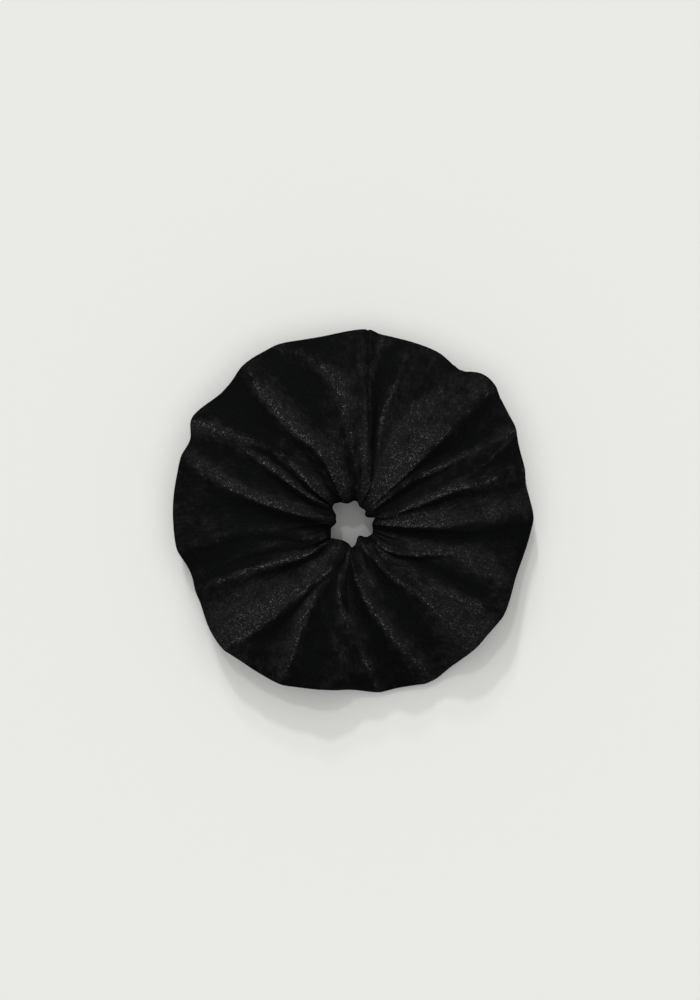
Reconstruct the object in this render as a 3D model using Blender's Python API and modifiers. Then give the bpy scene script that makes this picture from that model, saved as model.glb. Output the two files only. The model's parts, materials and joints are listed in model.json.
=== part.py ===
"""A velvet scrunchie at rest, lying flat on z = 0.

A strip of velvet is sewn into a tube, gathered over a loop of flat elastic and joined end to end.
The ring is held as two halves that meet at the closing seam, near +Y, and on the far side. The
left half stays put and the right half slides along +X when the elastic is pulled open.
Everything is modelled about the centre of the hole, which lies off the centre of the outline.
"""

import math

import bmesh
import bpy
from mathutils import Matrix, Vector

# The ring, in metres
OUTER_RADIUS = 0.075
HEIGHT = 0.034
HOLE_RADIUS = 0.0095
OUTLINE_CENTRE = Vector((0.0, 0.005, 0.0))  # from the hole's centre

# The cloth tube's section
CLOTH = 0.001
WIDEST_Z = 0.012
UNDER_DROP = 0.017  # what the underside would drop below its widest level, if the floor let it
FULLNESS = 0.85  # 1 is an ellipse, and less is squarer
SPINE_Z = 0.015
SPINE_ENDS = (0.2, 0.8)

# Gathers
GATHERS = 12
GATHER_DEPTH = 0.0036
GATHER_DEPTH_AT_EDGES = 0.3  # as a share of the depth halfway across
HOLE_PLEAT = 0.0008
RIM_PLEAT = 0.0016

# Seams
ALLOWANCE = 0.0065
STITCH_LINE = 0.004  # from the fold
SEAM_GAP = 0.0006
THREAD_RADIUS = 0.0002
CLEARANCE = 0.0003
CLOSING_ANGLE = math.radians(85)
LONG_SEAM_TURN = math.radians(-105)  # place on the section, where -90 degrees is straight down
THREAD_STOP = math.radians(4)  # how far short of the closing seam the long seam's threads end

# Elastic
ELASTIC_RADIUS = 0.02435
ELASTIC_WIDTH = 0.006
ELASTIC_THICKNESS = 0.0009
ELASTIC_Z = 0.012
LAP = 0.012
LAP_ANGLE_AT = math.pi
LAP_RUN_UP = math.radians(60)
JOIN_STITCH_ANGLE = math.radians(6)
JOIN_STITCH_HEIGHT = 0.0015
JOIN_TAIL_ANGLE = math.radians(4)

# Fineness
STEPS_PER_HALF = 36
SECTION_STEPS = 24
ELASTIC_STEPS = 72
HOLE_CUTTER_LENGTH = 0.006


def clear_scene():
    for found in list(bpy.data.objects):
        bpy.data.objects.remove(found)


def new_collection(name):
    made = bpy.data.collections.new(name)
    bpy.context.scene.collection.children.link(made)
    return made


def new_material(name, colour, roughness):
    made = bpy.data.materials.new(name)
    made.use_nodes = True
    shader = made.node_tree.nodes["Principled BSDF"]
    shader.inputs["Base Color"].default_value = (*colour, 1.0)
    shader.inputs["Roughness"].default_value = roughness
    shader.inputs["Metallic"].default_value = 0.0
    return made


def place(made, collection, body, material):
    collection.objects.link(made)
    made.parent = body
    made.data.materials.append(material)
    return made


def smoothstep(share):
    share = min(max(share, 0.0), 1.0)
    return share * share * (3 - 2 * share)


def direction(angle):
    return Vector((math.cos(angle), math.sin(angle), 0.0))


def pleat(angle):
    """0 on the crest of a gather and 1 in the valley between two."""
    return (1 - math.cos(GATHERS * angle)) / 2


def edge_points(angle):
    """The section's innermost and outermost points, seen from above."""
    inner = direction(angle) * (HOLE_RADIUS + HOLE_PLEAT * pleat(angle))
    outer = OUTLINE_CENTRE + direction(angle) * (OUTER_RADIUS - RIM_PLEAT * pleat(angle))
    return inner, outer


def rounded(value):
    return math.copysign(abs(value) ** FULLNESS, value)


def section_point(angle, turn):
    """A point of the cloth's outer face: turn goes from the rim at 0, over the top, to the hole."""
    inner, outer = edge_points(angle)
    across = (1 + rounded(math.cos(turn))) / 2
    rise = rounded(math.sin(turn))
    point = inner.lerp(outer, across)
    if rise > 0:
        edges = GATHER_DEPTH_AT_EDGES
        depth = GATHER_DEPTH * (edges + (1 - edges) * math.sin(math.pi * across))
        point.z = WIDEST_Z + (HEIGHT - WIDEST_Z - depth * pleat(angle)) * rise
    else:
        point.z = max(0.0, WIDEST_Z + UNDER_DROP * rise)
    return point


def turned_in(angle, turn, depth):
    """A point of the section moved towards the middle of the tube."""
    point = section_point(angle, turn)
    inner, outer = edge_points(angle)
    across = (1 + rounded(math.cos(turn))) / 2
    middle = inner.lerp(outer, min(max(across, SPINE_ENDS[0]), SPINE_ENDS[1]))
    middle.z = SPINE_Z
    return point + (middle - point).normalized() * depth


def outward(angle):
    inner, outer = edge_points(angle)
    return (outer - inner).normalized()


def onward(angle):
    """Square to the section, towards greater angles."""
    out = outward(angle)
    return Vector((-out.y, out.x, 0.0))


def skin_turns():
    step = 2 * math.pi / SECTION_STEPS
    return [LONG_SEAM_TURN + step * k for k in range(1, SECTION_STEPS)]


def cover_row(angle, shift):
    """One section of the cover, from one allowance of the long seam round to the other."""
    fold = section_point(angle, LONG_SEAM_TURN)
    half_gap = outward(angle) * SEAM_GAP / 2
    up = Vector((0.0, 0.0, ALLOWANCE))
    points = [fold + half_gap + up, fold + half_gap]
    points += [section_point(angle, turn) for turn in skin_turns()]
    points += [fold - half_gap, fold - half_gap + up]
    return [point + shift for point in points]


def closing_allowance(mesh, row, angle, shift, at_start):
    """The cloth turned in at the closing seam, a flange that the long seam's allowances join."""
    insides = [row[0]]
    insides += [mesh.verts.new(turned_in(angle, turn, ALLOWANCE) + shift) for turn in skin_turns()]
    insides += [row[-1]]
    edge = row[1:-1]
    for k in range(len(edge) - 1):
        face = [edge[k], edge[k + 1], insides[k + 1], insides[k]]
        mesh.faces.new(face if at_start else reversed(face))


def half_cover(name, first_angle, closes_at_start):
    mesh = bmesh.new()
    rows = []
    for step in range(STEPS_PER_HALF + 1):
        angle = first_angle + math.pi * step / STEPS_PER_HALF
        end = (step == 0) - (step == STEPS_PER_HALF)
        shift = onward(angle) * end * SEAM_GAP / 2
        rows.append([mesh.verts.new(point) for point in cover_row(angle, shift)])
        if end == (1 if closes_at_start else -1):
            closing_allowance(mesh, rows[-1], angle, shift, closes_at_start)
    for row, following in zip(rows, rows[1:]):
        for k in range(len(row) - 1):
            mesh.faces.new([row[k], following[k], following[k + 1], row[k + 1]])
    data = bpy.data.meshes.new(name)
    mesh.to_mesh(data)
    mesh.free()
    data.shade_smooth()
    made = bpy.data.objects.new(name, data)
    solid = made.modifiers.new("Cloth", "SOLIDIFY")
    solid.thickness = CLOTH
    solid.offset = -1
    solid.use_even_offset = True
    solid.use_quality_normals = True
    return made


def thread(name, points):
    curve = bpy.data.curves.new(name, "CURVE")
    curve.dimensions = "3D"
    curve.bevel_depth = THREAD_RADIUS
    curve.bevel_resolution = 2
    curve.use_fill_caps = True
    spline = curve.splines.new("POLY")
    spline.points.add(len(points) - 1)
    for made, point in zip(spline.points, points):
        made.co = (*point, 1.0)
    return bpy.data.objects.new(name, curve)


def long_seam_thread(name, side):
    """A thread beside one allowance of the long seam, on the hole's side (-1) or the rim's (1)."""
    out = SEAM_GAP / 2 + CLOTH + CLEARANCE + THREAD_RADIUS
    first = CLOSING_ANGLE + THREAD_STOP
    sweep = 2 * math.pi - 2 * THREAD_STOP
    steps = 2 * STEPS_PER_HALF
    points = []
    for step in range(steps + 1):
        angle = first + sweep * step / steps
        point = section_point(angle, LONG_SEAM_TURN) + outward(angle) * out * side
        point.z = STITCH_LINE
        points.append(point)
    return thread(name, points)


def closing_seam_thread(name, side):
    """A thread beside one allowance of the closing seam, in the left half (1) or the right (-1)."""
    off = onward(CLOSING_ANGLE) * side * (SEAM_GAP / 2 + CLOTH + CLEARANCE + THREAD_RADIUS)
    return thread(name, [turned_in(CLOSING_ANGLE, turn, STITCH_LINE) + off for turn in skin_turns()])


def elastic_point(angle, radius, z):
    return direction(angle) * radius + Vector((0.0, 0.0, z))


def elastic_band(name, cutters):
    """A flat strip bent round, with its last end lapped outside its first."""
    lap_angle = LAP / ELASTIC_RADIUS
    first = LAP_ANGLE_AT - lap_angle / 2
    sweep = 2 * math.pi + lap_angle
    mesh = bmesh.new()
    rows = []
    for step in range(ELASTIC_STEPS + 1):
        angle = first + sweep * step / ELASTIC_STEPS
        run_up = angle - (first + sweep - lap_angle - LAP_RUN_UP)
        radius = ELASTIC_RADIUS + (ELASTIC_THICKNESS + CLEARANCE) * smoothstep(run_up / LAP_RUN_UP)
        heights = (ELASTIC_Z - ELASTIC_WIDTH / 2, ELASTIC_Z + ELASTIC_WIDTH / 2)
        rows.append([mesh.verts.new(elastic_point(angle, radius, z)) for z in heights])
    for row, following in zip(rows, rows[1:]):
        mesh.faces.new([row[0], following[0], following[1], row[1]])
    data = bpy.data.meshes.new(name)
    mesh.to_mesh(data)
    mesh.free()
    made = bpy.data.objects.new(name, data)
    solid = made.modifiers.new("Strip", "SOLIDIFY")
    solid.thickness = ELASTIC_THICKNESS
    solid.offset = 0
    for cutter in cutters:
        cut = made.modifiers.new("Needle hole", "BOOLEAN")
        cut.operation = "DIFFERENCE"
        cut.solver = "EXACT"
        cut.object = cutter
    return made


def join_stitches():
    """Where the needle goes through the lapped ends, as angle and height, in order."""
    return [
        (LAP_ANGLE_AT + across * JOIN_STITCH_ANGLE, ELASTIC_Z + up * JOIN_STITCH_HEIGHT)
        for across, up in ((-1, -1), (1, -1), (-1, 1), (1, 1))
    ]


def needle_holes(collection, body):
    made = []
    for number, (angle, z) in enumerate(join_stitches()):
        mesh = bmesh.new()
        bmesh.ops.create_cone(
            mesh,
            cap_ends=True,
            segments=12,
            radius1=THREAD_RADIUS + CLEARANCE,
            radius2=THREAD_RADIUS + CLEARANCE,
            depth=HOLE_CUTTER_LENGTH,
        )
        data = bpy.data.meshes.new(f"needle_hole_{number}")
        mesh.to_mesh(data)
        mesh.free()
        hole = bpy.data.objects.new(data.name, data)
        hole.location = elastic_point(angle, ELASTIC_RADIUS, z)
        hole.rotation_euler = (0.0, math.pi / 2, angle)
        hole.display_type = "WIRE"
        hole.hide_render = True
        hole.parent = body
        collection.objects.link(hole)
        made.append(hole)
    return made


def elastic_join_thread(name):
    """One thread in and out through the four needle holes of the lapped ends."""
    off = ELASTIC_THICKNESS / 2 + CLEARANCE + THREAD_RADIUS
    inside = ELASTIC_RADIUS - off
    outside = ELASTIC_RADIUS + ELASTIC_THICKNESS + CLEARANCE + off
    stitches = join_stitches()
    points = [elastic_point(stitches[0][0] - JOIN_TAIL_ANGLE, inside, stitches[0][1])]
    for number, (angle, z) in enumerate(stitches):
        through = (inside, outside) if number % 2 == 0 else (outside, inside)
        points += [elastic_point(angle, radius, z) for radius in through]
    points.append(elastic_point(stitches[-1][0] + JOIN_TAIL_ANGLE, inside, stitches[-1][1]))
    return thread(name, points)


def body_empty(name, collection):
    """A body's frame, at the centre of the hole, which the slide's axis goes through."""
    made = bpy.data.objects.new(name, None)
    made.matrix_world = Matrix.Translation(-OUTLINE_CENTRE)
    collection.objects.link(made)
    return made


def build():
    clear_scene()
    parts = new_collection("scrunchie")
    cutters = new_collection("cutters")
    cutters.hide_render = True
    left = body_empty("left_half", parts)
    right = body_empty("right_half", parts)
    velvet = new_material("black_velvet", (0.012, 0.012, 0.013), 0.95)
    rubber = new_material("white_elastic", (0.75, 0.74, 0.70), 0.8)
    cotton = new_material("black_thread", (0.02, 0.02, 0.02), 0.7)
    far_angle = CLOSING_ANGLE + math.pi
    place(half_cover("velvet_cover_left", CLOSING_ANGLE, True), parts, left, velvet)
    place(half_cover("velvet_cover_right", far_angle, False), parts, right, velvet)
    holes = needle_holes(cutters, left)
    place(elastic_band("elastic_band", holes), parts, left, rubber)
    place(elastic_join_thread("elastic_join_thread"), parts, left, cotton.copy())
    place(long_seam_thread("long_seam_needle_thread", 1), parts, left, cotton.copy())
    place(long_seam_thread("long_seam_bobbin_thread", -1), parts, left, cotton.copy())
    place(closing_seam_thread("closing_seam_needle_thread", 1), parts, left, cotton.copy())
    place(closing_seam_thread("closing_seam_bobbin_thread", -1), parts, right, cotton)


build()
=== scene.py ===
"""The looks of a black velvet scrunchie lying flat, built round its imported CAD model.

The cover is one unbroken ring of gathered cloth, which stands for the two CAD halves. Its shape is
a smooth ring with folds laid over it: each fold is a crest line that runs from the hole to the
rim, over it and back underneath. Where the rim stands low, the top sags towards it, and the spare
cloth is pleated underneath. Angles go anticlockwise from +X about the centre of the hole.
"""

import json
import math

import bmesh
import bpy
import numpy as np
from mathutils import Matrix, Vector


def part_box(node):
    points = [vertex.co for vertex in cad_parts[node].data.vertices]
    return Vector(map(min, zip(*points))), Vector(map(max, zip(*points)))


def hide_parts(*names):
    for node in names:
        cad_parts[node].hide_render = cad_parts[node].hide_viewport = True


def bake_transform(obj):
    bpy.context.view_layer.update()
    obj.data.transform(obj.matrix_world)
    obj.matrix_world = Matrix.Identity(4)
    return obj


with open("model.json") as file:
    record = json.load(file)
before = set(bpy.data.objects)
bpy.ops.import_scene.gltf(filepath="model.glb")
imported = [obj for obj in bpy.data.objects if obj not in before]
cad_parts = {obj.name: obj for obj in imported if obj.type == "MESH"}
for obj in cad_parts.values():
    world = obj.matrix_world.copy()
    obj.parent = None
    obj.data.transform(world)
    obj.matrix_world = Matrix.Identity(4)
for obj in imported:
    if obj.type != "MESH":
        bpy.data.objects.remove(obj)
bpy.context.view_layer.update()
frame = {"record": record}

MM = 0.001

# What the frame gives
ELASTIC_LOW, ELASTIC_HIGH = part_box("elastic_band")
HOLE_BOX = frame["record"]["physics"]["openings"][0]["box_m"]
HOLE_CENTRE = np.array([(HOLE_BOX[0][k] + HOLE_BOX[1][k]) / 2 for k in range(2)])

# The cloth's section, from the hole's edge at 0 to the rim at 1. The rim's own height takes over
# from the first place in RIM_TAKES_OVER, over a width of the second, and a low rim makes the top sag.
WIDEST_Z = 0.012
CROWN_Z = 0.029
UNDER_PRESS = 0.0045
CROWN_LEAN = (1.12, 0.36)
RIM_TAKES_OVER = (0.3, 0.5)
FULLNESS = 0.85
TOP_FULLNESS = 0.7
SAGGED_FULLNESS = 1.7
SAG_FROM = 0.008
LONG_SEAM_TURN = math.radians(-105)

# The seams: the closing seam lies on the line x = 6.2 mm until it comes close to the hole
CLOSING_SEAM_X = 6.2
CLOSING_SEAM_END = 12.4
SEAM_GROOVE = 0.42 * MM
SEAM_WIDTH = 0.6 * MM
SEAM_GAP = 0.03 * MM
ALLOWANCE = 6.5 * MM
ALLOWANCE_LEAN = 0.12

# How finely the cloth is modelled
RING_STEPS = 960
SECTION_STEPS = 200
MEAN_RADIUS = 0.05
FLAP_STEPS = 8
FLOOR_EASE = 0.7 * MM
SEED = 7

# The elastic: a flat braid, lapped outside itself at 180 degrees
ELASTIC_THICKNESS = 0.9 * MM
ELASTIC_RADIUS = ELASTIC_HIGH.x - HOLE_CENTRE[0] - ELASTIC_THICKNESS / 2
ELASTIC_WIDTH = ELASTIC_HIGH.z - ELASTIC_LOW.z
ELASTIC_Z = (ELASTIC_HIGH.z + ELASTIC_LOW.z) / 2
LAP = 12 * MM
LAP_RUN_UP = math.radians(60)
LAP_CLEARANCE = 0.3 * MM
BRAID_RIBS = 7
BRAID_STEP = 1.2 * MM
BRAID_RELIEF = 0.09 * MM
BRAID_STEPS = 520
BRAID_SIDE_STEPS = 36
JOIN_STITCHES = ((-6, -1.5), (6, -1.5), (-6, 1.5), (6, 1.5))

# Sewing thread
THREAD_RADIUS = 0.2 * MM
THREAD_SIDES = 9
STITCH = 2.5 * MM
STITCH_DEPTH = 1.0 * MM
SEAM_THREAD_STOP = 4 * MM
SEAM_THREAD_STEP = 0.2 * MM
JOIN_THREAD_STEP = 0.12 * MM
PLY_TURN = 4.5 * THREAD_RADIUS

# The cloth simulation: how much coarser it is, and how far the elastic has drawn the ring in
SIM_RING = 3
SIM_SECTION = 2
SIM_FRAMES = 20
SIM_CAP = 3.0 * MM
SIM_BENDING = 0.03
SIM_PRESSURE = 1.0
GATHERED_BY = 10 * MM

# How high the folds stand against their listed heights, how sharply neighbours meet, per mm, how
# wide the painted highlight along each crest line is, in mm, and how much lower the folds are
# underneath
FOLD_GAIN = 1.7
CREASE_SHARPNESS = 2.3
CREST_WIDTH = 0.75
LOWER_UNDER = 0.35

# The fine gathers round the hole and the broad waves everywhere, in mm, and how far out the first go
FINE_GATHERS = 0.42
BROAD_WAVES = 0.3
GATHERS_REACH = 0.45

# How deep the spare cloth is pleated where it is out of sight
HIDDEN_PLEATS = 6.0 * MM

# The share of their height that the folds keep at the hole's edge, where HOLE gives the outline
HOLE_FOLD = 0.25

# How far the rim's folds stand out from the cloth between them, in mm
RIM_FOLD = 1.3

# Painted light on the pile: the azimuth in degrees that it comes from, where fold flanks that face it
# are painted lighter, and how strongly the slope sets it
PAINTED_LIGHT_FROM = 97
PAINTED_SLOPE_STRENGTH = 0.45

# Colours: the pile's black, which also serves as its painted shade; the same pile painted lit; its
# painted glints; the elastic's worn and fresh tones and the painted shade in its gaps; the thread's
# painted shade and painted light; the floor and the world
PILE_DARK = (0.0050, 0.0055, 0.0053, 1)
PAINTED_LIT_PILE = (0.0130, 0.0130, 0.0132, 1)
PAINTED_GLINT = (0.180, 0.180, 0.183, 1)
GRAIN_DARKENS_TO = 0.66
ELASTIC_WORN = (0.66, 0.65, 0.60, 1)
ELASTIC_FRESH = (0.80, 0.79, 0.75, 1)
ELASTIC_GAP_SHADE = (0.58, 0.57, 0.53, 1)
THREAD_PAINTED_SHADE = (0.012, 0.012, 0.012, 1)
THREAD_PAINTED_LIGHT = (0.04, 0.04, 0.042, 1)
FLOOR_COLOUR = (0.80, 0.80, 0.775, 1)
WORLD_COLOUR = (1, 0.995, 0.985, 1)

# The floor's width and the world's strength. Each sun's name, azimuth, elevation and softness in
# degrees, and the share of the floor's light that it gives
FLOOR_WIDTH = 60
WORLD_STRENGTH = 0.30
SUNS = (
    ("overhead", 95, 84, 90, 0.455),
    ("high_window", 108, 61, 3, 0.09),
    ("window", 103, 42, 4, 0.13),
    ("low_window", 100, 34, 4, 0.05),
)

# The camera looks straight down: where it stands, how high above the rim, and how much it sees
CAMERA_X = -0.0012
CAMERA_Y = 0.00435
CAMERA_DISTANCE = 0.9
SEEN_HEIGHT = 0.4144
SENSOR_HEIGHT = 24

# The outline seen from above: angle in degrees, distance from the hole's centre in millimetres
RIM = (
    (19, 74.6), (29, 77.4), (40, 80.6), (49.5, 81.2), (53, 78.2), (64, 79.6), (75, 79.9), (86, 79.8),
    (98, 79.0), (117, 79.8), (135, 77.6), (147, 79.2), (153, 75.9), (162, 76.8), (184, 74.8),
    (199, 71.4), (218, 74.2), (235, 74.0), (249, 72.5), (268, 70.2), (291, 73.8), (305, 73.6),
    (328, 72.6), (341, 71.9), (356, 74.8),
)

# How high above the floor the rim's widest line is: angle in degrees, height in millimetres
RIM_HEIGHT = (
    (10, 11), (45, 13), (85, 11), (125, 13), (160, 12), (190, 10), (212, 10), (234, 19), (247, 15),
    (257, 20), (271, 5), (288, 3.5), (303, 6), (318, 18), (334, 16), (350, 10),
)

# The hole's outline, listed as the rim's is
HOLE = (
    (6, 9.0), (14, 9.8), (20, 7.4), (29, 6.5), (43, 7.1), (64, 7.9), (83, 9.1), (104, 8.5),
    (124, 10.2), (144.7, 10.8), (155, 8.0), (175, 7.4), (201, 9.6), (212.7, 11.6), (231, 9.2),
    (257, 9.3), (268.4, 11.1), (275, 9.9), (290, 6.9), (312, 7.8), (331, 9.2), (345.5, 8.5),
)

# Each fold's crest: its angle and its height in millimetres at these stations across the cloth, and
# how far its two sides spread at halfway, in millimetres, anticlockwise first
STATIONS = (0.0, 0.15, 0.3, 0.5, 0.75, 1.0)
FULL = (0.7, 2.8, 3.4, 3.0, 2.2, 0.8)
INNER = (0.7, 2.6, 3.0, 1.8, 0.4, 0.0)
OUTER = (0.0, 0.0, 0.6, 1.8, 2.2, 0.8)
FOLDS = (
    ((-5, -4, -3, -2, 0, 1.5), FULL, 4.0, 2.4),
    ((12, 14.5, 16, 18, 17.5, 17.5), FULL, 4.0, 2.4),
    ((20, 20, 20, 20, 25, 30.5), (0, 0, 0, 0.8, 2.0, 0.8), 2.5, 2.5),
    ((29, 34, 35.5, 32.5, 30, 30.5), INNER, 3.0, 2.2),
    ((35, 41, 42.8, 43.5, 43.6, 44), (1.0, 2.4, 3.2, 3.6, 3.0, 1.0), 9.0, 2.2),
    ((66, 68, 71, 75, 72.8, 72), (0, 0, 0.4, 1.2, 1.0, 0), 2.0, 2.0),
    ((59, 68, 76.5, 81, 84, 85.3), (1.2, 2.4, 2.8, 2.8, 2.2, 1.2), 7.0, 1.8),
    ((83, 85, 90, 94, 99.5, 113), FULL, 3.0, 4.0),
    ((112, 112, 115, 122, 124.5, 125), (1.0, 2.0, 2.8, 3.4, 3.0, 1.0), 3.0, 6.0),
    ((141, 139.5, 136.5, 138, 144, 147.5), FULL, 2.4, 2.6),
    ((156, 152.5, 148, 146, 146, 147.5), INNER, 2.2, 2.2),
    ((186, 175, 170, 166.5, 163.5, 158), FULL, 2.4, 4.0),
    ((180, 168, 164, 161, 160, 158), (0, 0, 0.5, 1.2, 1.2, 0), 1.8, 1.8),
    ((207, 203, 191, 185.5, 187, 189), (1.0, 1.8, 2.0, 1.6, 1.6, 0.8), 2.6, 3.0),
    ((211, 208, 200.5, 196.7, 198.5, 202), (0.6, 1.4, 1.8, 2.0, 1.2, 0), 2.4, 3.4),
    ((222, 217, 210.5, 205.5, 203.8, 203.5), FULL, 3.0, 3.0),
    ((262, 250, 238, 233, 228.5, 224), (1.0, 2.2, 3.0, 3.6, 3.0, 1.0), 2.4, 8.0),
    ((265, 256, 247, 242.5, 245, 246), (0.6, 1.2, 2.2, 2.8, 2.4, 1.0), 3.0, 4.0),
    ((268, 261.5, 259.6, 264.5, 275, 279), (0.8, 1.6, 2.4, 2.8, 2.4, 1.0), 2.6, 5.0),
    ((271, 272, 276.5, 285.3, 293, 297.5), FULL, 2.6, 3.0),
    ((273, 275, 280, 284, 289.5, 294.5), (0, 0, 0, 0.6, 1.6, 0.8), 1.8, 1.8),
    ((288, 298, 306, 312.8, 314, 315), (1.0, 2.0, 2.4, 2.6, 1.2, 0.4), 2.6, 3.0),
    ((303, 312, 317.5, 320, 326, 329), FULL, 2.8, 6.0),
    ((321, 319.8, 332, 341.5, 343, 343), INNER, 2.4, 2.0),
    ((334, 334, 334, 334.5, 333.8, 328), OUTER, 8.0, 2.4),
)

# Bands of painted highlight (above 0) or painted shade (below 0): angle and strength at the same
# stations, and how far the band spreads to its two sides, in millimetres, anticlockwise first
PAINTED_BANDS = (
    ((90, 90, 90, 91, 99, 113), (0, 0, 0.1, 0.3, 0.9, 0.5), 3.5, 4),
    ((112, 112, 114, 122, 125, 126), (0, 0.3, 0.9, 0.8, 1.0, 0.2), 2, 6),
    ((150, 149, 147.5, 145, 145.5, 149), (0.2, 0.6, 0.7, 0.7, 0.9, 1.0), 2.5, 2.5),
    ((138, 138, 138.5, 139.6, 143, 148), (0.3, 0.5, 0.6, 0.6, 0.3, 0), 1.2, 1.5),
    ((172, 170, 168.8, 165, 161, 158), (0.1, 0.5, 0.9, 1.0, 0.9, 0.2), 1.5, 3),
    ((186, 186, 185, 184.3, 187, 188), (0, 0, 0.2, 0.3, 0.3, 0.3), 1.5, 2),
    ((206, 200, 196, 195.4, 198, 200), (0, 0.2, 0.35, 0.35, 0.3, 0), 1, 2),
    ((222, 216, 210, 205.5, 203.4, 203), (0.3, 0.8, 1.0, 0.9, 0.6, 0.2), 2, 1),
    ((236, 232, 226, 216, 212, 212), (0.7, 0.5, 0.3, 0.3, 0.3, 0.3), 5, 6),
    ((250, 242, 236, 229, 224, 223), (0.2, 0.3, 0.7, 1.0, 1.0, 0.5), 3, 5),
    ((262, 250, 242, 242.5, 244, 245), (0, 0.2, 0.6, 0.8, 0.8, 0.3), 1.5, 3),
    ((252, 250, 247, 254, 265, 268), (0, 0, 0.3, 0.4, 0.4, 0.2), 1, 1.5),
    ((262, 258, 257.5, 268.5, 276, 280), (0, 0.3, 0.6, 0.6, 0.5, 0.3), 1.2, 2),
    ((270, 271.5, 278.2, 286, 293.3, 297), (0.2, 0.4, 0.5, 0.6, 0.6, 0.4), 2.5, 2),
    ((290, 302, 311, 316, 318.5, 320), (0.4, 0.6, 0.6, 0.5, 0.5, 0.4), 4, 4.5),
    ((323, 322, 333, 343, 340, 338), (0.2, 0.3, 0.3, 0.6, 0.7, 0.3), 5, 2),
    ((322, 322, 323, 324.5, 325.5, 326), (0, 0, 0, 0.3, 0.4, 0.1), 1.2, 1.5),
    ((-5, -4, -2, 0.3, 3, 4), (0.2, 0.3, 0.5, 0.6, 0.7, 0.3), 3.5, 1),
    ((12, 14, 16, 18.5, 15.5, 15), (0.3, 0.6, 0.7, 0.7, 0.5, 0.3), 1.5, 1.2),
    ((10, 10, 10, 10, 9, 8), (0.2, 0.3, 0.3, 0.4, 0.4, 0.3), 4, 4),
    ((20, 20, 20, 21, 24.3, 29), (0, 0, 0, 0.4, 0.8, 0.6), 0.8, 0.8),
    ((29, 33, 34, 32, 30.4, 30), (0.2, 0.6, 0.7, 0.8, 0.6, 0.6), 1.8, 0.8),
    ((42, 46, 48, 49, 47, 47), (0.7, 1.0, 1.0, 0.9, 0.6, 0.4), 5, 3),
    ((52, 60, 64, 64, 58, 54), (0.5, 0.7, 0.8, 0.9, 0.6, 0.2), 2.5, 5),
    ((66, 68, 71, 74, 72.5, 72), (0, 0, 0.2, 0.7, 0.5, 0), 0.8, 0.8),
    ((83, 83, 84, 84, 82.7, 80.7), (0, 0, 0, 0, 0.5, 0.7), 0.9, 0.9),
    ((64, 72, 79, 83, 86, 87), (0, 0.3, 0.5, 0.5, 0.5, 0.4), 1.5, 0.2),
    ((95, 95, 96, 96, 95, 96), (0, 0, 0, 0.2, 0.4, 0.4), 5, 5),
    ((115, 115, 113, 110, 113, 118), (0, 0, -0.3, -0.5, -0.6, -0.2), 3, 3),
    ((130, 130, 131, 134, 136.6, 137), (-0.2, -0.4, -0.6, -0.7, -0.7, -0.3), 4, 5),
    ((158, 158, 156, 154, 153, 153), (-0.2, -0.4, -0.5, -0.4, -0.3, -0.2), 2.5, 2.5),
    ((58, 71, 76, 79, 78, 76), (-0.2, -0.6, -0.8, -0.8, -0.6, -0.3), 2, 2.5),
    ((33, 36, 37, 37.5, 34, 34), (-0.3, -0.7, -0.8, -0.8, -0.5, 0), 2, 3),
    ((18, 22, 24.5, 25, 24, 24), (-0.3, -0.6, -0.7, -0.4, -0.6, -0.4), 2.5, 2.5),
    ((350, 350, 350, 352, 356, 356), (-0.3, -0.7, -0.7, -0.7, -0.7, -0.4), 2.5, 3),
    ((328, 328, 328, 331, 331, 329), (0, 0, -0.2, -0.6, -0.6, -0.1), 3, 3),
    ((285, 292, 297, 300, 303, 306), (-0.2, -0.4, -0.6, -0.7, -0.5, -0.1), 4, 3),
    ((268, 269, 272, 278, 284, 287), (-0.2, -0.4, -0.6, -0.7, -0.6, -0.2), 2.5, 2.5),
    ((252, 252, 252, 254, 254, 255), (-0.3, -0.5, -0.5, -0.6, -0.7, -0.4), 3, 4),
    ((240, 240, 238, 234, 232.3, 234), (0, -0.2, -0.3, -0.5, -0.7, -0.4), 3, 2),
    ((205, 203, 201, 200, 200, 200), (-0.2, -0.4, -0.6, -0.6, -0.3, 0), 2, 2),
    ((190, 187, 187, 190, 192, 193), (-0.3, -0.4, -0.3, -0.5, -0.3, 0), 3, 3),
    ((178, 176, 176, 177, 176, 175), (-0.3, -0.5, -0.6, -0.6, -0.3, 0.2), 3, 4),
    ((5, 5, 5, 6, 6, 6), (0.9, 1.5, 0.8, 0, -0.2, 0), 7, 7),
    ((46, 46, 47, 47, 47, 47), (0.6, 1.0, 0.6, 0.2, -0.2, -0.1), 8, 8),
    ((72, 74, 78, 78, 78, 78), (0.8, 1.3, 0.8, 0.3, 0, 0), 6, 6),
    ((105, 105, 105, 105, 105, 105), (0.5, 0.9, 0.5, 0, 0, 0), 7, 7),
    ((135, 135, 133, 130, 130, 130), (0.8, 1.2, 0.8, 0.5, 0, 0), 6, 6),
    ((160, 160, 160, 160, 160, 160), (0.3, 0.6, 0.1, -0.2, 0, 0), 6, 6),
    ((193, 193, 193, 194, 194, 194), (0, 0, -0.2, -0.4, -0.5, -0.1), 8, 8),
    ((284, 284, 284, 284, 284, 284), (0.3, 0.5, 0.4, 0, 0, 0), 5, 5),
    ((345, 345, 345, 345, 345, 345), (0.3, 0.5, 0.4, 0, 0, 0), 6, 6),
    ((102, 102, 102, 102, 102, 102), (0, 0, 0, 0, -0.5, -0.7), 13, 11),
    ((134, 134, 134, 134, 134, 134), (0, 0, 0, 0, -0.3, -0.6), 10, 10),
    ((315, 315, 315, 315, 315, 315), (0, 0, 0, 0, 0.4, 0.9), 13, 13),
    ((226, 226, 226, 226, 226, 226), (0, 0, 0, 0, 0.2, 0.6), 10, 10),
)


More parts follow.
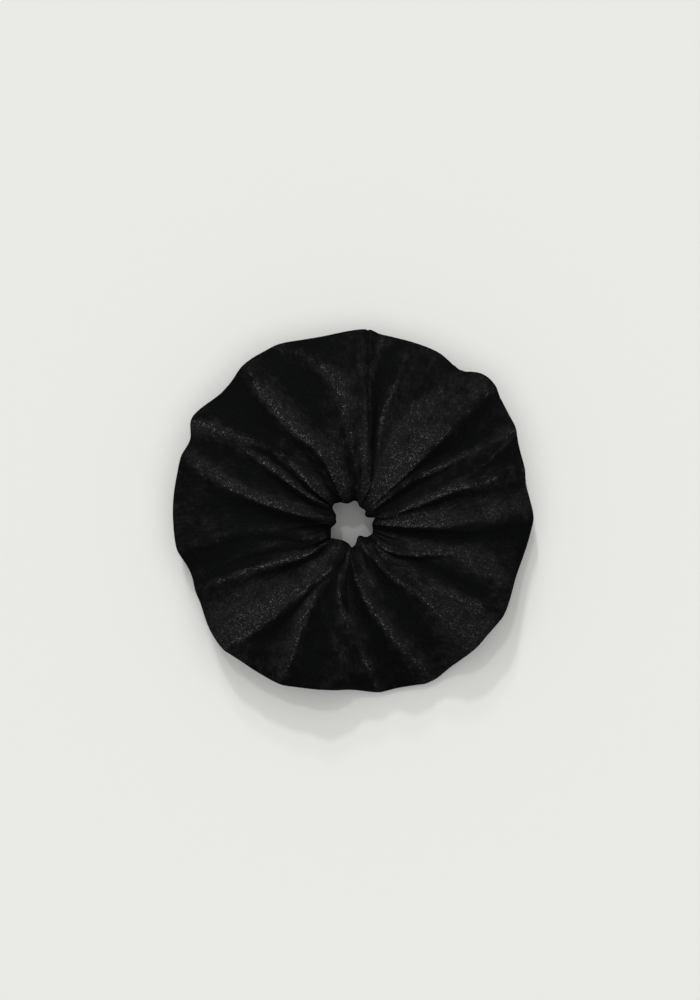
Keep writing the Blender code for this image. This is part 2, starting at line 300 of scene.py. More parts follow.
def smooth_curve(xs, ys, x):
    """A curve through the given points with no corners, read at x."""
    xs = np.asarray(xs, float)
    ys = np.asarray(ys, float)
    slopes = np.gradient(ys, xs)
    k = np.clip(np.searchsorted(xs, x) - 1, 0, len(xs) - 2)
    gap = xs[k + 1] - xs[k]
    t = (x - xs[k]) / gap
    return (
        (2 * t**3 - 3 * t**2 + 1) * ys[k]
        + (t**3 - 2 * t**2 + t) * gap * slopes[k]
        + (3 * t**2 - 2 * t**3) * ys[k + 1]
        + (t**3 - t**2) * gap * slopes[k + 1]
    )


def closed_curve(points, degrees):
    """A closed outline through (angle, distance) points, read at these angles."""
    angles = np.array([p[0] for p in points], float)
    distances = np.array([p[1] for p in points], float)
    xs = np.concatenate([angles[-3:] - 360, angles, angles[:3] + 360])
    ys = np.concatenate([distances[-3:], distances, distances[:3]])
    wrapped = (degrees - xs[0]) % 360 + xs[0]
    return smooth_curve(xs, ys, wrapped)


def rounded(value, fullness):
    """A sine or cosine made fuller, below 1, or slacker, above it."""
    return np.sign(value) * np.abs(value) ** fullness


def turned_from(degrees, path):
    """How many degrees anticlockwise of a path each point is, from -180 to 180."""
    return (degrees - path + 180) % 360 - 180


def spread_at(off, spread_on, spread_back, across):
    """How far a fold or band spreads on the point's side of it: it widens from hole to rim."""
    widening = np.clip(0.28 + 1.44 * across, 0.28, 1.3)
    return np.where(off > 0, spread_on, spread_back) * MM * widening


def fold_relief(degrees, across, under, radius, span, random):
    """How far the folds raise the cloth, in metres, and how near each point is to a crest line.

    Each point lies on the highest fold there, with the crease between neighbours rounded.
    """
    pushed = np.ones(np.broadcast(degrees, across).shape)
    layers = []
    for angles, heights, spread_on, spread_back in FOLDS:
        drift = random.uniform(-7, 7)
        path = smooth_curve(STATIONS, angles, across) + under * drift * np.sin(math.pi * across)
        height = np.maximum(smooth_curve(STATIONS, heights, across), 0) * (1 - LOWER_UNDER * under)
        height = height * (HOLE_FOLD + (1 - HOLE_FOLD) * np.clip(across / 0.08, 0, 1))
        step = 0.01
        ahead = smooth_curve(STATIONS, angles, np.clip(across + step, 0, 1))
        behind = smooth_curve(STATIONS, angles, np.clip(across - step, 0, 1))
        slant = np.radians(ahead - behind) / (2 * step) * radius / span
        off = np.radians(turned_from(degrees, path)) * radius / np.sqrt(1 + slant**2)
        spread = spread_at(off, spread_on, spread_back, across)
        fold = height * FOLD_GAIN * np.exp(1 - np.sqrt(1 + (off / spread) ** 2))
        pushed += np.expm1(CREASE_SHARPNESS * fold)
        layers.append((fold, off, height))
    highest = np.log(pushed) / CREASE_SHARPNESS
    return highest * MM, crests(layers, highest)


def painted_bands(degrees, across, under, radius, random):
    """How much painted highlight or painted shade the bands give each point."""
    shade = np.zeros(degrees.shape)
    for angles, strengths, spread_on, spread_back in PAINTED_BANDS:
        path = smooth_curve(STATIONS, angles, across) + under * random.uniform(-8, 8)
        strength = smooth_curve(STATIONS, strengths, across)
        off = np.radians(turned_from(degrees, path)) * radius
        spread = spread_at(off, spread_on, spread_back, across)
        shade += strength * np.exp(-(np.abs(off / spread) ** 2.5))
    return shade


def crests(layers, highest):
    """How near each point is to the crest line of the fold that it lies on, from 0 to about 1."""
    near = np.zeros(highest.shape)
    for fold, off, height in layers:
        on_top = np.exp(-(((highest - fold) / 0.5) ** 2))
        near += np.exp(-((off / (CREST_WIDTH * MM)) ** 2)) * on_top * np.minimum(height / 2, 1)
    return near


def ripples(degrees, along, random, count, rings, lengths):
    """Seeded waves round the ring, with crests that run roughly from the hole to the rim."""
    waves = np.zeros(np.broadcast(degrees, along).shape)
    for _ in range(count):
        turns = random.integers(*rings)
        length = random.uniform(*lengths)
        phase = random.uniform(0, 2 * math.pi)
        waves += np.cos(np.radians(degrees) * turns + along / length * 2 * math.pi + phase)
    return waves / math.sqrt(count)


def hidden_pleats(degrees, turns, across, random):
    """How deep the gathers go into the tube underneath, from the hole's edge outwards, in metres."""
    waves = ripples(degrees, across, random, 8, (34, 60), (-2.5, 2.5))
    ramp = np.clip((-0.08 - np.sin(turns)) / 0.4, 0, 1)
    ramp = ramp * (1 - np.clip((across - 0.55) / 0.37, 0, 1) ** 1.5)
    return HIDDEN_PLEATS * ramp * (0.5 + 0.5 * np.tanh(1.5 * waves))


def closing_seam_degrees(across):
    """The closing seam's angle at each place across the cloth."""
    degrees = np.full(across.shape, 85.0)
    for _ in range(12):
        inner = closed_curve(HOLE, degrees)
        radius = inner + (closed_curve(RIM, degrees) - inner) * across
        degrees = np.degrees(np.arccos(CLOSING_SEAM_X / np.maximum(radius, CLOSING_SEAM_END)))
    return degrees


def base_surface(degrees, turns):
    """The ring before its folds: points, distance from the hole's centre, and width hole to rim."""
    across = (1 + rounded(np.cos(turns), FULLNESS)) / 2
    outwards = np.clip((across - RIM_TAKES_OVER[0]) / RIM_TAKES_OVER[1], 0, 1)
    outwards = outwards * outwards * (3 - 2 * outwards)
    rim = WIDEST_Z + (closed_curve(RIM_HEIGHT, degrees) * MM - WIDEST_Z) * outwards
    sag = np.clip((WIDEST_Z - rim) / SAG_FROM, 0, 1)
    top_fullness = TOP_FULLNESS + (SAGGED_FULLNESS - TOP_FULLNESS) * sag
    rise = rounded(np.sin(turns), np.where(np.sin(turns) > 0, top_fullness, FULLNESS))
    inner = closed_curve(HOLE, degrees) * MM
    outer = (closed_curve(RIM, degrees) - RIM_FOLD) * MM
    radius = inner + (outer - inner) * across
    top = rim + (CROWN_Z - rim) * rise * (CROWN_LEAN[0] - CROWN_LEAN[1] * across)
    bottom = rim + (rim + UNDER_PRESS) * rise
    z = np.where(rise > 0, top, bottom)
    theta = np.radians(degrees)
    x = HOLE_CENTRE[0] + radius * np.cos(theta)
    y = HOLE_CENTRE[1] + radius * np.sin(theta)
    return np.stack([x, y, z], -1), radius, outer - inner


def normals(points):
    """Outward directions of a grid that closes on itself along its first direction."""
    round_ring = np.roll(points, -1, 0) - np.roll(points, 1, 0)
    round_section = np.gradient(points, axis=1)
    found = np.cross(round_ring, round_section)
    return found / np.linalg.norm(found, axis=-1, keepdims=True)


def gathers(degrees, across, random):
    """The fine gathers round the hole and the broad waves everywhere, in metres."""
    near_hole = np.clip(1 - across / GATHERS_REACH, 0, 1) ** 1.5
    fine = ripples(degrees, across, random, 14, (24, 70), (-1.5, 1.5))
    broad = ripples(degrees, across, random, 10, (3, 14), (-1.2, 1.2))
    return fine * near_hole * np.clip(across / 0.1, 0, 1) * FINE_GATHERS * MM + broad * BROAD_WAVES * MM


def painted_flank_light(relief, degrees, radius):
    """Painted light: how much lighter the pile is painted where a slope faces the light."""
    slope = (np.roll(relief, -1, 0) - np.roll(relief, 1, 0)) / (2 * 2 * math.pi / RING_STEPS * radius)
    return -slope * np.sin(np.radians(PAINTED_LIGHT_FROM) - np.radians(degrees)) * PAINTED_SLOPE_STRENGTH


def laid_on_floor(points, normal, pleats):
    """The cover eased flat where it meets the floor, then pleated underneath, and set on the floor."""
    points[..., 2] = (points[..., 2] + np.sqrt(points[..., 2] ** 2 + FLOOR_EASE**2)) / 2
    points -= normal * pleats[..., None]
    points[..., 2] -= points[..., 2].min()
    return points


def long_seam_groove(points):
    """How far the cloth is drawn up along the long seam, which is the grid's first and last column."""
    steps = np.linalg.norm(np.diff(points, axis=1), axis=-1)
    along = np.concatenate([np.zeros((RING_STEPS, 1)), np.cumsum(steps, 1)], 1)
    from_long = np.minimum(along, along[:, -1:] - along)
    return SEAM_GROOVE * np.exp(-((from_long / SEAM_WIDTH) ** 2))


def closed_ring(grid):
    """A grid with its first row repeated at the end, where the closing seam's two edges meet."""
    return np.concatenate([grid, grid[:1]])


def cover_points():
    """The cover as a grid from closing seam to closing seam, and from long seam to long seam."""
    random = np.random.default_rng(SEED)
    turns = LONG_SEAM_TURN + 2 * math.pi * np.arange(SECTION_STEPS + 1)[None, :] / SECTION_STEPS
    across = (1 + rounded(np.cos(turns), FULLNESS)) / 2
    seam = closing_seam_degrees(across)
    degrees = seam + np.arange(RING_STEPS)[:, None] * 360 / RING_STEPS
    under = (np.sin(turns) < 0).astype(float)
    base, radius, span = base_surface(degrees, turns)
    normal = normals(base)
    relief, crest = fold_relief(degrees, across, under, radius, span, random)
    relief += gathers(degrees, across, random)
    # painted light: flanks that face the light painted lighter, plus bands of painted highlight and
    # shade
    painted_light = painted_flank_light(relief, degrees, radius)
    painted_light += painted_bands(degrees, across, under, radius, random)
    from_closing = np.radians(turned_from(degrees, seam)) * radius
    relief -= SEAM_GROOVE * np.exp(-((from_closing / SEAM_WIDTH) ** 2))
    points = base + normal * relief[..., None]
    points = laid_on_floor(points, normal, hidden_pleats(degrees, turns, across, random))
    points[..., 2] += long_seam_groove(points)
    points += settled(points, turns, across)
    crush = np.stack([3 * np.radians(degrees - seam) * MEAN_RADIUS, span * across, 0 * radius], -1)
    return [closed_ring(grid) for grid in (points, normal, painted_light, crest, crush)]


def cubic_upsample(values, factor, axis, closed):
    """A grid made finer along one axis, through a smooth curve in its values."""
    values = np.moveaxis(values, axis, 0)
    if closed:
        padded = np.concatenate([values[-1:], values, values[:2]])
        steps = len(values)
    else:
        padded = np.concatenate([2 * values[:1] - values[1:2], values, 2 * values[-1:] - values[-2:-1]])
        steps = len(values) - 1
    pieces = []
    a, b, c, d = (padded[k:k + steps] for k in range(4))
    for k in range(factor):
        t = k / factor
        pieces.append(
            b + 0.5 * t * (c - a + t * (2 * a - 5 * b + 4 * c - d + t * (3 * (b - c) + d - a)))
        )
    finer = np.stack(pieces, 1).reshape((steps * factor,) + values.shape[1:])
    if not closed:
        finer = np.concatenate([finer, values[-1:]])
    return np.moveaxis(finer, 0, axis)


def pin_strengths(start, turns, across):
    """How firmly each point of the simulated cloth is held: the seam, the underside and the hole."""
    held = np.zeros(start.shape[:2])
    held[:, :3] = 1
    held[:, -3:] = 1
    held[np.broadcast_to(across[:, ::SIM_SECTION] < 0.04, held.shape)] = 0.8
    held[start[..., 2] < 0.0015] = 1
    held[:, np.sin(turns[0, ::SIM_SECTION]) < 0] = 1
    return held.ravel()


def add_cloth_modifier(cloth, rest):
    """Soft knitted velvet with a little air inside, pulled towards its ungathered size."""
    modifier = cloth.modifiers.new("cloth", "CLOTH")
    settings = modifier.settings
    settings.quality = 8
    settings.mass = 0.02
    settings.tension_stiffness = 12
    settings.compression_stiffness = 12
    settings.shear_stiffness = 4
    settings.bending_stiffness = SIM_BENDING
    settings.tension_damping = 12
    settings.compression_damping = 12
    settings.bending_damping = 1
    settings.air_damping = 4
    settings.use_pressure = True
    settings.uniform_pressure_force = SIM_PRESSURE
    settings.rest_shape_key = rest
    settings.vertex_group_mass = "pinned"
    settings.effector_weights.gravity = 0
    modifier.collision_settings.use_collision = False


def simulated(cloth):
    """Where the cloth's points are after the simulation. The object is removed."""
    scene = bpy.context.scene
    for number in range(1, SIM_FRAMES + 1):
        scene.frame_set(number)
    seen = cloth.evaluated_get(bpy.context.evaluated_depsgraph_get())
    after = np.empty(len(seen.data.vertices) * 3)
    seen.data.vertices.foreach_get("co", after)
    scene.frame_set(1)
    bpy.data.objects.remove(cloth)
    return after


def settled(points, turns, across):
    """How far Blender's cloth moves the cover when it is given the spare length of the gathers."""
    start = points[::SIM_RING, ::SIM_SECTION]
    rows, columns = start.shape[:2]
    outwards = start[..., :2] - HOLE_CENTRE
    outwards = outwards / np.linalg.norm(outwards, axis=-1, keepdims=True)
    ungathered = start.copy()
    ungathered[..., :2] += outwards * GATHERED_BY
    index = np.arange(rows * columns).reshape(rows, columns)
    faces = grid_faces(np.concatenate([index, index[:1]]))
    cloth = mesh_object("cloth_sim", start.reshape(-1, 3), faces)
    cloth.shape_key_add(name="Basis")
    rest = cloth.shape_key_add(name="ungathered")
    rest.data.foreach_set("co", ungathered.ravel())
    pinned = cloth.vertex_groups.new(name="pinned")
    held = pin_strengths(start, turns, across)
    for number in np.flatnonzero(held):
        pinned.add([int(number)], float(held[number]), "REPLACE")
    add_cloth_modifier(cloth, rest)
    moved = simulated(cloth).reshape(start.shape) - start
    length = np.linalg.norm(moved, axis=-1, keepdims=True)
    moved *= SIM_CAP / np.maximum(length, SIM_CAP)
    finer = cubic_upsample(moved, SIM_RING, 0, True)
    return cubic_upsample(finer, SIM_SECTION, 1, False)


def turned_in(edge, inward, sideways, from_corner):
    """A seam allowance: rows that go from a seamed edge into the tube, cut off at its corners."""
    rows = []
    depth = np.clip(from_corner / ALLOWANCE, 0.02, 1) * ALLOWANCE
    for k in range(1, FLAP_STEPS + 1):
        share = k / FLAP_STEPS
        lean = ALLOWANCE_LEAN * share**2
        rows.append(edge + (inward + sideways * lean) * (depth * share)[:, None])
    return np.stack(rows, 0)


def unit(vectors):
    return vectors / np.linalg.norm(vectors, axis=-1, keepdims=True)


def lengths_along(points):
    steps = np.linalg.norm(np.diff(points, axis=0), axis=1)
    return np.concatenate([[0], np.cumsum(steps)])


def from_ends(points):
    along = lengths_along(points)
    return np.minimum(along, along[-1] - along)


def mesh_object(name, points, faces):
    data = bpy.data.meshes.new(name)
    data.from_pydata(points.tolist(), [], faces.tolist())
    data.shade_smooth()
    made = bpy.data.objects.new(name, data)
    bpy.context.scene.collection.objects.link(made)
    return made


def grid_faces(index):
    """The quads of a grid of vertex numbers."""
    return np.stack([index[:-1, :-1], index[1:, :-1], index[1:, 1:], index[:-1, 1:]], -1).reshape(-1, 4)


def cover_mesh(points, normal, painted_light, crest, crush, section_way, ring_way):
    """The whole cloth: a rectangle whose four edges turn in at the two seams."""
    rows, columns = painted_light.shape
    points = points.copy()
    points[:, 0] += section_way[:, 0] * SEAM_GAP
    points[:, -1] -= section_way[:, -1] * SEAM_GAP
    points[0] += ring_way[0] * SEAM_GAP
    points[-1] -= ring_way[-1] * SEAM_GAP
    index = np.arange(rows * columns).reshape(rows, columns)
    everything = [points.reshape(-1, 3)]
    faces = [grid_faces(index)]
    count = rows * columns
    edges = (
        (index[:, 0], points[:, 0], normal[:, 0], section_way[:, 0], True),
        (index[:, -1], points[:, -1], normal[:, -1], -section_way[:, -1], False),
        (index[0], points[0], normal[0], ring_way[0], False),
        (index[-1], points[-1], normal[-1], -ring_way[-1], True),
    )
    for numbers, edge, outward, sideways, forward in edges:
        flap = turned_in(edge, -outward, sideways, from_ends(edge))
        flap_index = count + np.arange(FLAP_STEPS * len(edge)).reshape(FLAP_STEPS, len(edge))
        count += flap_index.size
        joined = np.concatenate([numbers[None], flap_index])
        faces.append(grid_faces(joined if forward else joined[::-1]))
        everything.append(flap.reshape(-1, 3))
    cover = mesh_object("velvet_cover", np.concatenate(everything), np.concatenate(faces))
    for name, values in (("painted_light", painted_light), ("crest", crest)):
        padded = np.concatenate([values.ravel(), np.zeros(count - values.size)])
        cover.data.attributes.new(name, "FLOAT", "POINT").data.foreach_set("value", padded)
    padded = np.concatenate([crush.ravel(), np.zeros(3 * (count - painted_light.size))])
    cover.data.attributes.new("crush", "FLOAT_VECTOR", "POINT").data.foreach_set("vector", padded)
    return cover


def material(name):
    made = bpy.data.materials.new(name)
    made.use_nodes = True
    return made, made.node_tree.nodes, made.node_tree.links


def noise(nodes, links, place, scale, detail=2.0, roughness=0.5):
    made = nodes.new("ShaderNodeTexNoise")
    made.inputs["Scale"].default_value = scale
    made.inputs["Detail"].default_value = detail
    made.inputs["Roughness"].default_value = roughness
    links.new(place, made.inputs["Vector"])
    return made.outputs["Fac"]


def remap(nodes, links, value, low, high, to_low=0.0, to_high=1.0, smooth=True):
    made = nodes.new("ShaderNodeMapRange")
    made.interpolation_type = "SMOOTHSTEP" if smooth else "LINEAR"
    made.inputs["From Min"].default_value = low
    made.inputs["From Max"].default_value = high
    made.inputs["To Min"].default_value = to_low
    made.inputs["To Max"].default_value = to_high
    links.new(value, made.inputs["Value"])
    return made.outputs["Result"]


def maths(nodes, links, operation, first, second):
    made = nodes.new("ShaderNodeMath")
    made.operation = operation
    for socket, value in zip(made.inputs, (first, second)):
        if isinstance(value, (int, float)):
            socket.default_value = value
        else:
            links.new(value, socket)
    return made.outputs["Value"]


def mixed(nodes, links, amount, first, second):
    made = nodes.new("ShaderNodeMix")
    made.data_type = "RGBA"
    links.new(amount, made.inputs["Factor"])
    for name, value in (("A", first), ("B", second)):
        socket = [i for i in made.inputs if i.name == name and i.type == "RGBA"][0]
        if isinstance(value, tuple):
            socket.default_value = value
        else:
            links.new(value, socket)
    return [o for o in made.outputs if o.type == "RGBA"][0]


def darkened(nodes, links, colour, share):
    made = nodes.new("ShaderNodeVectorMath")
    made.operation = "SCALE"
    made.inputs["Scale"].default_value = share
    links.new(colour, made.inputs[0])
    return made.outputs["Vector"]


def attribute(nodes, name, output):
    made = nodes.new("ShaderNodeAttribute")
    made.attribute_name = name
    return made.outputs[output]


def bumped(nodes, links, shader, height, strength, distance):
    made = nodes.new("ShaderNodeBump")
    made.inputs["Strength"].default_value = strength
    made.inputs["Distance"].default_value = distance
    links.new(height, made.inputs["Height"])
    links.new(made.outputs["Normal"], shader.inputs["Normal"])


def uneven(nodes, links, level, field, amount):
    """The level moved up and down by a noise field, by this amount from end to end."""
    centred = maths(nodes, links, "SUBTRACT", field, 0.5)
    return maths(nodes, links, "ADD", level, maths(nodes, links, "MULTIPLY", centred, amount))


def pile_level(nodes, links, place):
    """How light the pile is painted: the painted light and shade of the flanks and bands, with random
    mottling and with strokes that follow the gathers.
    """
    mottling = noise(nodes, links, place, 150, 5, 0.65)
    # painted light and shade from the attribute, made uneven by random mottling
    level = uneven(nodes, links, attribute(nodes, "painted_light", "Fac"), mottling, 2.4)
    strokes = noise(nodes, links, attribute(nodes, "crush", "Vector"), 260, 4, 0.7)
    return uneven(nodes, links, level, strokes, 2.2)


def painted_glints(nodes, links, place, level):
    """Painted glints, standing for bright fibre ends: one in about two cells, livelier on the pile
    painted lit and as a painted highlight along crests.
    """
    cells = nodes.new("ShaderNodeTexVoronoi")
    cells.inputs["Scale"].default_value = 2400
    links.new(place, cells.inputs["Vector"])
    parted = nodes.new("ShaderNodeSeparateColor")
    links.new(cells.outputs["Color"], parted.inputs["Color"])
    glint_dots = remap(nodes, links, parted.outputs["Red"], 0.45, 1.0, smooth=False)
    glint = remap(nodes, links, cells.outputs["Distance"], 0.55, 0.18)
    glint_dots = maths(nodes, links, "MULTIPLY", glint_dots, glint)
    on_painted_lit = remap(nodes, links, level, 0.0, 0.7)
    # painted highlight along the crests where the pile is painted lit
    crest_highlight = maths(nodes, links, "MULTIPLY", attribute(nodes, "crest", "Fac"), on_painted_lit)
    crest_highlight = maths(nodes, links, "MULTIPLY", crest_highlight, 1.5)
    glint_amount = maths(nodes, links, "ADD", remap(nodes, links, level, 0.1, 1.6), crest_highlight)
    glint_dots = maths(nodes, links, "MULTIPLY", glint_dots, glint_amount)
    clustered = remap(nodes, links, noise(nodes, links, place, 800, 2), 0.38, 0.62, 0.3, 1.35)
    return maths(nodes, links, "MULTIPLY", glint_dots, clustered)


def velvet():
    """Black crushed velvet: the pile's black painted lit and shaded, painted glints on it, and a fine
    grain that darkens both.
    """
    made, nodes, links = material("black_velvet")
    shader = nodes["Principled BSDF"]
    shader.inputs["Roughness"].default_value = 0.6
    shader.inputs["Specular IOR Level"].default_value = 0.0
    shader.inputs["Sheen Weight"].default_value = 0.003
    shader.inputs["Sheen Roughness"].default_value = 0.4
    place = nodes.new("ShaderNodeTexCoord").outputs["Object"]
    level = pile_level(nodes, links, place)
    # painted light: the pile's black where it is painted shaded, its painted lit copy where painted lit
    painted_lit_share = remap(nodes, links, level, -0.4, 0.95)
    colour = mixed(nodes, links, painted_lit_share, PILE_DARK, PAINTED_LIT_PILE)
    colour = mixed(nodes, links, painted_glints(nodes, links, place, level), colour, PAINTED_GLINT)
    grain = remap(nodes, links, noise(nodes, links, place, 1400, 3, 0.7), 0.35, 0.65)
    colour = mixed(nodes, links, grain, darkened(nodes, links, colour, GRAIN_DARKENS_TO), colour)
    links.new(colour, shader.inputs["Base Color"])
    bumped(nodes, links, shader, noise(nodes, links, place, 1600, 2), 0.5, 0.0005)
    return made


def braid():
    """White braided elastic, a little yellowed, with painted shade in the gaps between its fibres."""
    made, nodes, links = material("white_braided_elastic")
    shader = nodes["Principled BSDF"]
    shader.inputs["Roughness"].default_value = 0.8
    shader.inputs["Specular IOR Level"].default_value = 0.25
    place = nodes.new("ShaderNodeTexCoord").outputs["Object"]
    worn = remap(nodes, links, noise(nodes, links, place, 160, 3), 0.3, 0.7)
    colour = mixed(nodes, links, worn, ELASTIC_WORN, ELASTIC_FRESH)
    fibres = noise(nodes, links, place, 3500, 2)
    # painted shade where the fibre bump is low
    between = remap(nodes, links, fibres, 0.35, 0.6)
    colour = mixed(nodes, links, between, ELASTIC_GAP_SHADE, colour)
    links.new(colour, shader.inputs["Base Color"])
    bumped(nodes, links, shader, fibres, 0.4, 0.0001)
    return made


def thread_finish():
    """Black spun thread with fine fibres, painted darker in their hollows and lighter on their tops."""
    made, nodes, links = material("black_thread")
    shader = nodes["Principled BSDF"]
    shader.inputs["Roughness"].default_value = 0.65
    shader.inputs["Specular IOR Level"].default_value = 0.2
    place = nodes.new("ShaderNodeTexCoord").outputs["Object"]
    fibres = noise(nodes, links, place, 5000, 3)
    # painted shade where the fibre bump is low, painted light where it is high
    colour = mixed(nodes, links, remap(nodes, links, fibres, 0.3, 0.7), THREAD_PAINTED_SHADE, THREAD_PAINTED_LIGHT)
    links.new(colour, shader.inputs["Base Color"])
    bumped(nodes, links, shader, fibres, 0.5, 0.00005)
    return made


def stretches(piece):
    """The piece's transform is baked into its mesh."""
    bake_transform(piece)


def add_cover(cloth):
    cover = cover_mesh(*cloth)
    cover.data.materials.append(velvet())
    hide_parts("velvet_cover_left", "velvet_cover_right")
    stretches(cover)


def capped_tube(name, rings):
    """A mesh through closed rings of points, with its two ends filled."""
    count, sides = rings.shape[:2]
    index = np.arange(count * sides).reshape(count, sides)
    index = np.concatenate([index, index[:, :1]], 1)
    made = mesh_object(name, rings.reshape(-1, 3), grid_faces(index)[:, ::-1])
    filled = bmesh.new()
    filled.from_mesh(made.data)
    filled.verts.ensure_lookup_table()
    filled.faces.new([filled.verts[k] for k in range(sides)])
    filled.faces.new([filled.verts[(count - 1) * sides + k] for k in reversed(range(sides))])
    bmesh.ops.recalc_face_normals(filled, faces=filled.faces)
    filled.to_mesh(made.data)
    filled.free()
    made.data.shade_smooth()
    return made


def elastic_point(angle, radius, height):
    x = HOLE_CENTRE[0] + radius * np.cos(angle)
    y = HOLE_CENTRE[1] + radius * np.sin(angle)
    return np.stack(np.broadcast_arrays(x, y, height), -1)


def elastic_radius(angle, last):
    """The middle of the strip's thickness: it steps out where it laps its own start."""
    share = np.clip((angle - (last - LAP / ELASTIC_RADIUS - LAP_RUN_UP)) / LAP_RUN_UP, 0, 1)
    step = ELASTIC_THICKNESS + LAP_CLEARANCE
    return ELASTIC_RADIUS + step * share * share * (3 - 2 * share)


def add_elastic():
    """A flat braided strip: ribs along it, each one a row of little chevrons."""
    lap_angle = LAP / ELASTIC_RADIUS
    first = math.pi - lap_angle / 2
    last = first + 2 * math.pi + lap_angle
    angle = np.linspace(first, last, BRAID_STEPS)[:, None]
    along = (angle - first) * ELASTIC_RADIUS
    half = np.linspace(-1, 1, BRAID_SIDE_STEPS)
    up = np.concatenate([half, half[::-1]])[None, :]
    side = np.repeat([1.0, -1.0], BRAID_SIDE_STEPS)[None, :]
    rib = (up + 1) / 2 * BRAID_RIBS
    odd = np.floor(np.clip(rib, 0, BRAID_RIBS - 0.001)) % 2
    chevron = np.cos(2 * math.pi * (along / BRAID_STEP + odd / 2 + np.abs(rib % 1 - 0.5)))
    relief = BRAID_RELIEF * (np.abs(np.sin(math.pi * rib)) * (0.75 + 0.25 * chevron) - 1)
    edge = np.clip(1 - np.abs(up), 0, 1) * ELASTIC_WIDTH / 2
    roundness = np.sqrt(np.clip(1 - (1 - np.minimum(edge / (ELASTIC_THICKNESS / 2), 1)) ** 2, 0, 1))
    out = side * (ELASTIC_THICKNESS / 2 * roundness + relief * roundness)
    middle = elastic_radius(angle, last)
    rings = elastic_point(angle, middle + out, ELASTIC_Z + up * ELASTIC_WIDTH / 2)
    doubled = (BRAID_SIDE_STEPS, 2 * BRAID_SIDE_STEPS - 1)
    strip = capped_tube("elastic_braid", np.delete(rings, doubled, axis=1))
    strip.data.materials.append(braid())
    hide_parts("elastic_band")
    stretches(strip)


def resampled(points, spacing):
    """The same line with even spacing; columns after the third are carried along with the points."""
    along = lengths_along(points[:, :3])
    wanted = np.arange(0, along[-1], spacing)
    return np.stack([np.interp(wanted, along, points[:, k]) for k in range(points.shape[1])], -1)


def corners_cut(points, times):
    """The same route with its corners rounded off."""
    for _ in range(times):
        first = points[:-1] * 0.75 + points[1:] * 0.25
        second = points[:-1] * 0.25 + points[1:] * 0.75
        inner = np.stack([first, second], 1).reshape(-1, 3)
        points = np.concatenate([points[:1], inner, points[-1:]])
    return points


def add_thread(name, node, route, finish):
    """A three-ply sewing thread along a route."""
    ways = unit(np.gradient(route, axis=0))
    first = np.cross(ways[0], (0.3, 0.5, 0.8))
    across = [first / np.linalg.norm(first)]
    for way in ways[1:]:
        turned = across[-1] - way * np.dot(across[-1], way)
        across.append(turned / np.linalg.norm(turned))
    across = np.array(across)[:, None, :]
    other = np.cross(ways[:, None, :], across)
    turn = np.arange(THREAD_SIDES)[None, :] * 2 * math.pi / THREAD_SIDES
    twist = (lengths_along(route) / PLY_TURN)[:, None]
    reach = THREAD_RADIUS * (0.82 + 0.18 * np.abs(np.cos(1.5 * (turn - twist))))
    rings = route[:, None, :] + reach[..., None] * (
        np.cos(turn)[..., None] * across + np.sin(turn)[..., None] * other
    )
    thread = capped_tube(name, rings)
    thread.data.materials.append(finish)
    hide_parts(node)
    stretches(thread)


def add_join_thread(finish):
    """In and out through the lapped ends of the elastic, four times."""
    off = ELASTIC_THICKNESS / 2 + THREAD_RADIUS
    inside = ELASTIC_RADIUS - off
    outside = ELASTIC_RADIUS + ELASTIC_THICKNESS + LAP_CLEARANCE + off
    corners = []
    for number, (degrees, height) in enumerate(JOIN_STITCHES):
        way = (inside, outside) if number % 2 == 0 else (outside, inside)
        for radius in way:
            angle = math.pi + math.radians(degrees)
            corners.append(elastic_point(angle, radius, ELASTIC_Z + height * MM))
    tail = math.radians(4)
    first_angle = math.pi + math.radians(JOIN_STITCHES[0][0]) - tail
    last_angle = math.pi + math.radians(JOIN_STITCHES[-1][0]) + tail
    first = elastic_point(first_angle, inside, ELASTIC_Z + JOIN_STITCHES[0][1] * MM)
    last = elastic_point(last_angle, inside, ELASTIC_Z + JOIN_STITCHES[-1][1] * MM)
    route = corners_cut(np.array([first] + corners + [last]), 3)
    route = resampled(route, JOIN_THREAD_STEP)
    add_thread("elastic_join_stitches", "elastic_join_thread", route, finish)


def stitched(seam, inward, sideways, side):
    """One thread of a lock stitch: along one face of the seam, and between the cloths at each hole."""
    line = np.concatenate([seam + inward * STITCH_DEPTH, sideways], 1)
    line = resampled(line, SEAM_THREAD_STEP)
    spare = int(SEAM_THREAD_STOP / SEAM_THREAD_STEP)
    line = line[spare:-spare]
    along = lengths_along(line[:, :3])
    beside = (THREAD_RADIUS + SEAM_GAP) * np.abs(np.sin(math.pi * along / STITCH)) ** 0.4
    return line[:, :3] + unit(line[:, 3:]) * (side * beside)[:, None]


def add_seam_threads(cloth, finish):
    points, normal, _, _, _, section_way, ring_way = cloth
    seams = (
        ("long_seam", points[:, 0], -normal[:, 0], section_way[:, 0]),
        ("closing_seam", points[0], -normal[0], ring_way[0]),
    )
    for seam, line, inward, sideways in seams:
        for thread, side in (("needle", 1), ("bobbin", -1)):
            route = stitched(line, inward, sideways, side)
            add_thread(f"{seam}_{thread}_stitches", f"{seam}_{thread}_thread", route, finish)


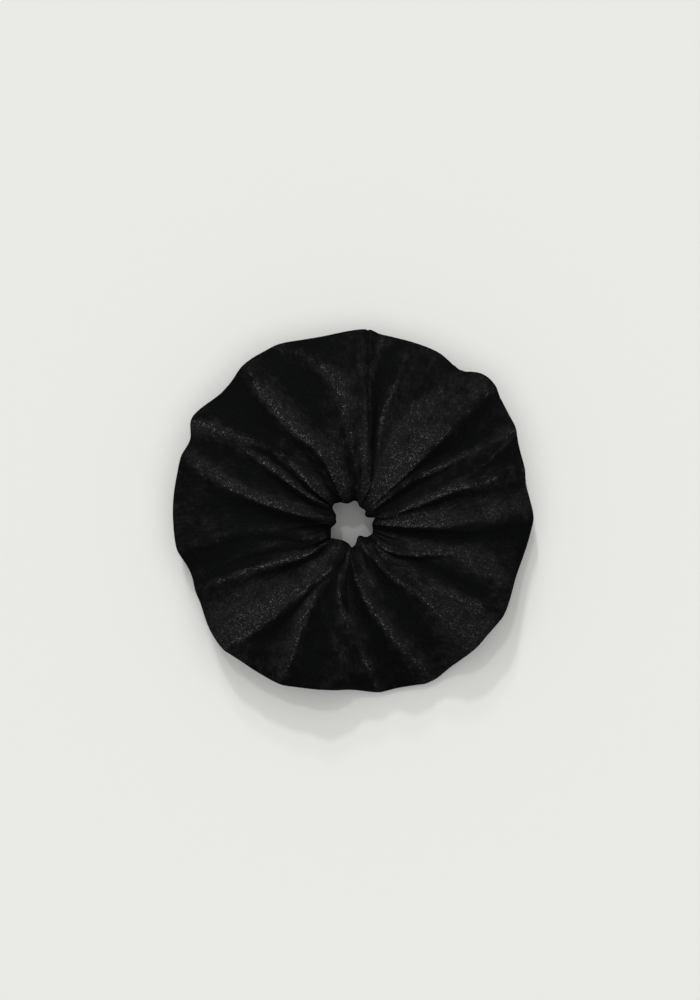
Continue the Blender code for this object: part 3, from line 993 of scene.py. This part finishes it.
def add_scrunchie():
    points, normal, painted_light, crest, crush = cover_points()
    section_way = unit(np.gradient(points, axis=1))
    ring_way = unit(np.gradient(points, axis=0))
    cloth = (points, normal, painted_light, crest, crush, section_way, ring_way)
    add_cover(cloth)
    add_elastic()
    finish = thread_finish()
    add_join_thread(finish)
    add_seam_threads(cloth, finish)


def sun(name, azimuth, elevation, softness, share):
    """A distant soft light that gives the floor this share of its light, from this direction."""
    data = bpy.data.lights.new(name, "SUN")
    data.angle = math.radians(softness)
    data.energy = share * math.pi / math.sin(math.radians(elevation))
    made = bpy.data.objects.new(name, data)
    made.rotation_euler = (math.radians(90 - elevation), 0, math.radians(azimuth + 90))
    made.location = (0, 0, 0.5)
    bpy.context.scene.collection.objects.link(made)


def add_floor():
    bpy.ops.mesh.primitive_plane_add(size=FLOOR_WIDTH, location=(0, 0, 0))
    floor = bpy.context.object
    floor.name = "floor"
    made, nodes, _ = material("pale_floor")
    shader = nodes["Principled BSDF"]
    shader.inputs["Base Color"].default_value = FLOOR_COLOUR
    shader.inputs["Roughness"].default_value = 0.9
    floor.data.materials.append(made)


def add_light():
    world = bpy.data.worlds.new("soft_room")
    world.use_nodes = True
    background = world.node_tree.nodes["Background"]
    background.inputs["Color"].default_value = WORLD_COLOUR
    background.inputs["Strength"].default_value = WORLD_STRENGTH
    bpy.context.scene.world = world
    for name, azimuth, elevation, softness, share in SUNS:
        sun(name, azimuth, elevation, softness, share)
    bpy.context.scene.view_settings.view_transform = "Standard"


def add_camera():
    """Looking straight down, a little off the ring's centre."""
    data = bpy.data.cameras.new("camera")
    data.sensor_fit = "VERTICAL"
    data.sensor_height = SENSOR_HEIGHT
    data.lens = SENSOR_HEIGHT * CAMERA_DISTANCE / SEEN_HEIGHT
    camera = bpy.data.objects.new("camera", data)
    camera.location = (CAMERA_X, CAMERA_Y, CAMERA_DISTANCE + WIDEST_Z)
    bpy.context.scene.collection.objects.link(camera)
    bpy.context.scene.camera = camera


add_camera()
add_floor()
add_light()
add_scrunchie()
